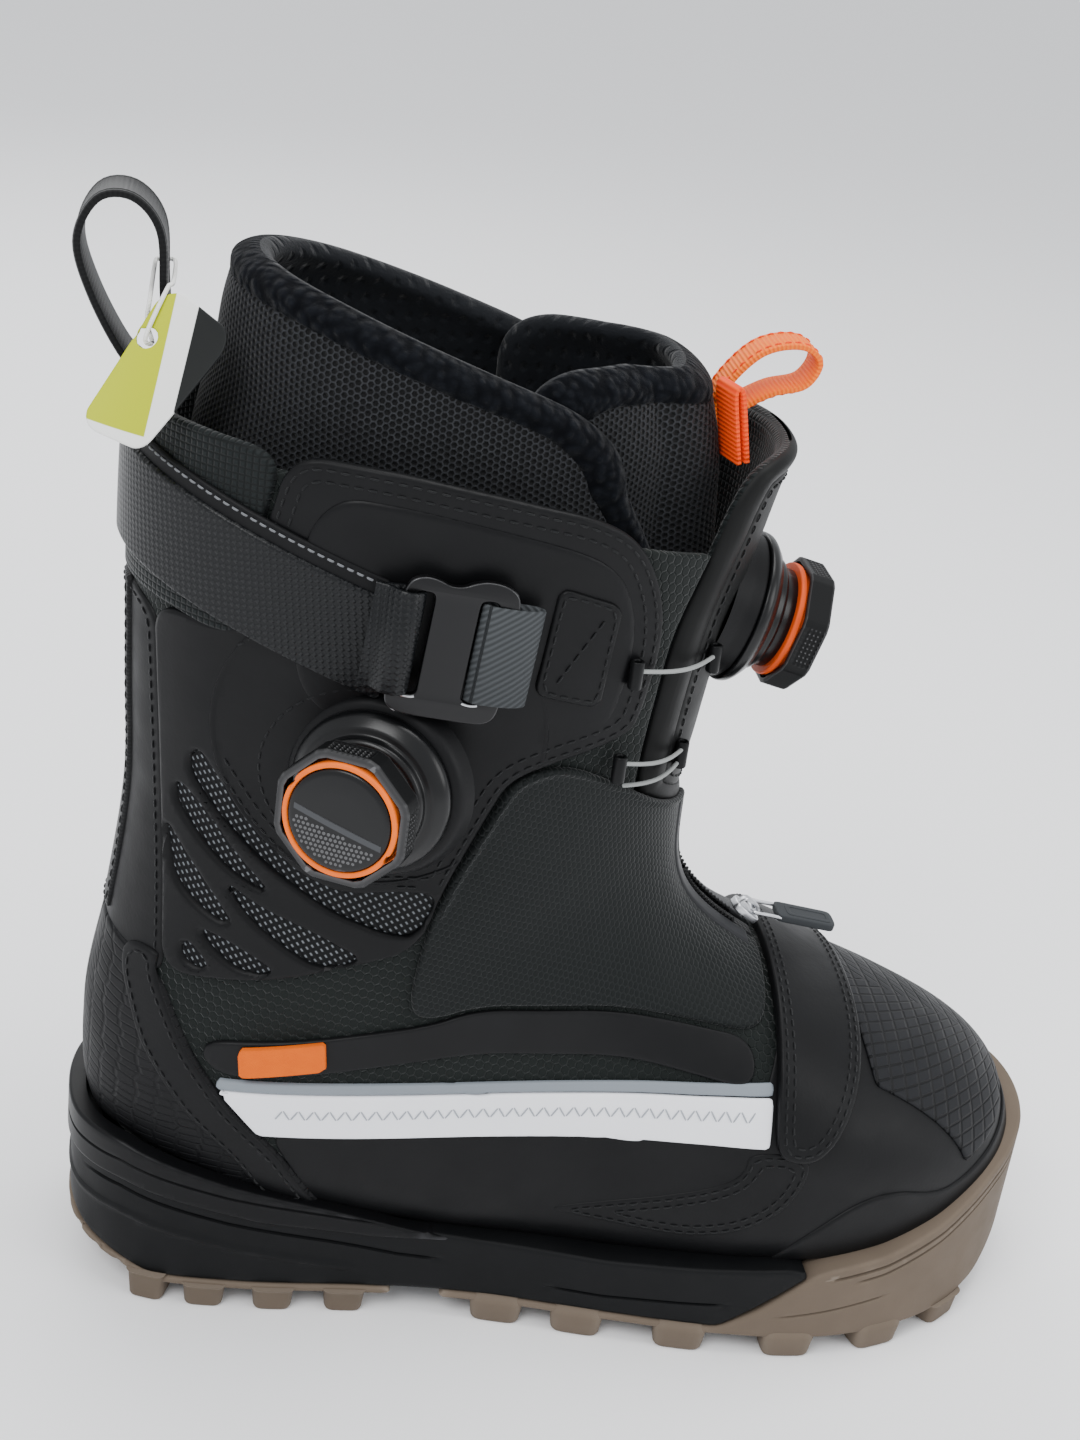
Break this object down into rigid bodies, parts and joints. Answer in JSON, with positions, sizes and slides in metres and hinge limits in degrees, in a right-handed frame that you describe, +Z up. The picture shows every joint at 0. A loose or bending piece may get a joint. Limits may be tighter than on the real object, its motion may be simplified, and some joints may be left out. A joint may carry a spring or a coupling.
{
  "type": "snowboard boot",
  "caption": "Right snowboard boot: soft outer boot with two turning reel dials, buckled power strap, zipped lace shroud, folding tongue, padded liner and lugged sole.",
  "frame": {"origin": "middle of the boot's bounding box in plan, on the ground under the sole", "axes": "+X towards the toe, +Y towards the inner side of this right boot, +Z up"},
  "size_m": [0.322, 0.1526, 0.3397],
  "materials": {
    "tread_rubber": "matte grooved rubber",
    "foam": "matte moulded foam",
    "foxing_rubber": "satin rubber",
    "board": "plain fibre board",
    "quarter_fabric": "coated honeycomb weave",
    "coated": "matte synthetic leather",
    "stripe_vinyl": "satin film",
    "label": "plain woven label",
    "shroud_fabric": "soft-shell cloth",
    "zip_cloth": "woven zip tape",
    "zip_metal": "brushed",
    "puller_rubber": "moulded rubber on a wire link",
    "webbing": "ribbed webbing",
    "tag_card": "printed card with plain colour fields",
    "string": "twisted string",
    "strap": "moulded strap with a dot pattern",
    "buckle_metal": "black painted metal",
    "grey_webbing": "grey twill webbing",
    "tongue_shell": "matte moulded shell",
    "padding": "mesh lining",
    "guide": "moulded nylon",
    "lace": "coated lace cable",
    "dial_black": "satin moulded plastic",
    "dial_orange": "moulded plastic",
    "dial_grip": "knurled rubber",
    "screw_steel": "brushed",
    "liner_mesh": "spacer mesh",
    "fleece": "brushed fleece",
    "eva": "foam",
    "footbed_foam": "felt topped foam",
    "orange_cloth": "ribbed webbing",
    "orange_webbing": "ribbed webbing"
  },
  "bodies": {
    "boot": {"outsole": "tread_rubber", "heel_tread": "tread_rubber", "midsole": "foam", "heel_foxing": "foxing_rubber", "lasting_board": "board", "outer_shell": "quarter_fabric", "toe_cap": "coated", "toe_rand": "coated", "vamp_flap": "coated", "heel_counter": "coated", "stripe_lateral": "stripe_vinyl", "stripe_medial": "stripe_vinyl", "band_lateral": "coated", "band_medial": "coated", "quarter_lateral": "coated", "quarter_medial": "coated", "side_label": "label", "lace_shroud": "shroud_fabric", "zip_tape": "zip_cloth", "cuff_lateral": "coated", "cuff_medial": "coated", "rear_gusset": "zip_cloth", "back_stay": "webbing", "heel_pull_loop": "webbing", "strap_back": "strap", "buckle_webbing": "grey_webbing", "buckle_anchor": "coated", "cuff_lace_guides": "guide", "lace_cables": "lace", "liner_boot": "liner_mesh", "liner_rim": "fleece", "liner_tongue": "liner_mesh", "liner_sole": "eva", "footbed": "footbed_foam", "liner_pull_tab": "orange_cloth", "liner_pull_loop": "orange_webbing", "side_dial_pod": "coated", "side_dial_base": "dial_black", "side_dial_screw": "screw_steel"},
    "tongue": {"tongue_shell": "tongue_shell", "tongue_padding": "padding", "tongue_lace_guides": "guide", "front_dial_pod": "coated", "front_dial_base": "dial_black", "front_dial_screw": "screw_steel"},
    "front_spool": {"front_dial_spool": "guide"},
    "front_knob": {"front_dial_core": "dial_orange", "front_dial_grip": "dial_grip", "front_dial_cap": "dial_black"},
    "side_spool": {"side_dial_spool": "guide"},
    "side_knob": {"side_dial_core": "dial_orange", "side_dial_grip": "dial_grip", "side_dial_cap": "dial_black"},
    "zip_runner": {"zip_slider": "zip_metal"},
    "zip_pull": {"zip_puller": "puller_rubber"},
    "strap": {"strap_front": "strap"},
    "buckle": {"strap_buckle": "buckle_metal"},
    "tag": {"hang_tag": "tag_card", "tag_string": "string"}
  },
  "joints": [
    {"name": "tongue_fold", "type": "hinge", "parent": "boot", "child": "tongue", "pos_m": [0.0325, 0.01128, 0.17], "axis": [0, 1, 0], "range_deg": [0, 20], "deforming": ["lace_cables"]},
    {"name": "front_spool_turn", "type": "hinge", "parent": "tongue", "child": "front_spool", "pos_m": [0.035, 0.01128, 0.232], "axis": [0.9659, 0, -0.2588], "continuous": true},
    {"name": "front_knob_pull", "type": "slide", "parent": "front_spool", "child": "front_knob", "axis": [0.9659, 0, -0.2588], "range_m": [0, 0.0025]},
    {"name": "side_spool_turn", "type": "hinge", "parent": "boot", "child": "side_spool", "pos_m": [-0.076, -0.04972, 0.196], "axis": [-0.4218, -0.9046, 0.061], "continuous": true},
    {"name": "side_knob_pull", "type": "slide", "parent": "side_spool", "child": "side_knob", "axis": [-0.4218, -0.9046, 0.061], "range_m": [0, 0.0025]},
    {"name": "zip_slide", "type": "slide", "parent": "boot", "child": "zip_runner", "axis": [-0.788, 0, 0.6157], "range_m": [0, 0.024]},
    {"name": "zip_pull_swing", "type": "hinge", "parent": "zip_runner", "child": "zip_pull", "pos_m": [0.05467, 0.01178, 0.12941], "axis": [0, -1, 0], "range_deg": [0, 90]},
    {"name": "strap_swing", "type": "hinge", "parent": "boot", "child": "strap", "pos_m": [-0.1317, -0.02572, 0.25], "axis": [0, 0, -1], "range_deg": [0, 60], "deforming": ["buckle_webbing"]},
    {"name": "buckle_tilt", "type": "hinge", "parent": "strap", "child": "buckle", "pos_m": [-0.07172, -0.04984, 0.2415], "axis": [-0.1045, -0.052, -0.9932], "range_deg": [0, 30]},
    {"name": "tag_swing", "type": "hinge", "parent": "boot", "child": "tag", "pos_m": [-0.138, 0.00928, 0.317], "axis": [-1, 0, 0], "range_deg": [0, 25]}
  ]
}
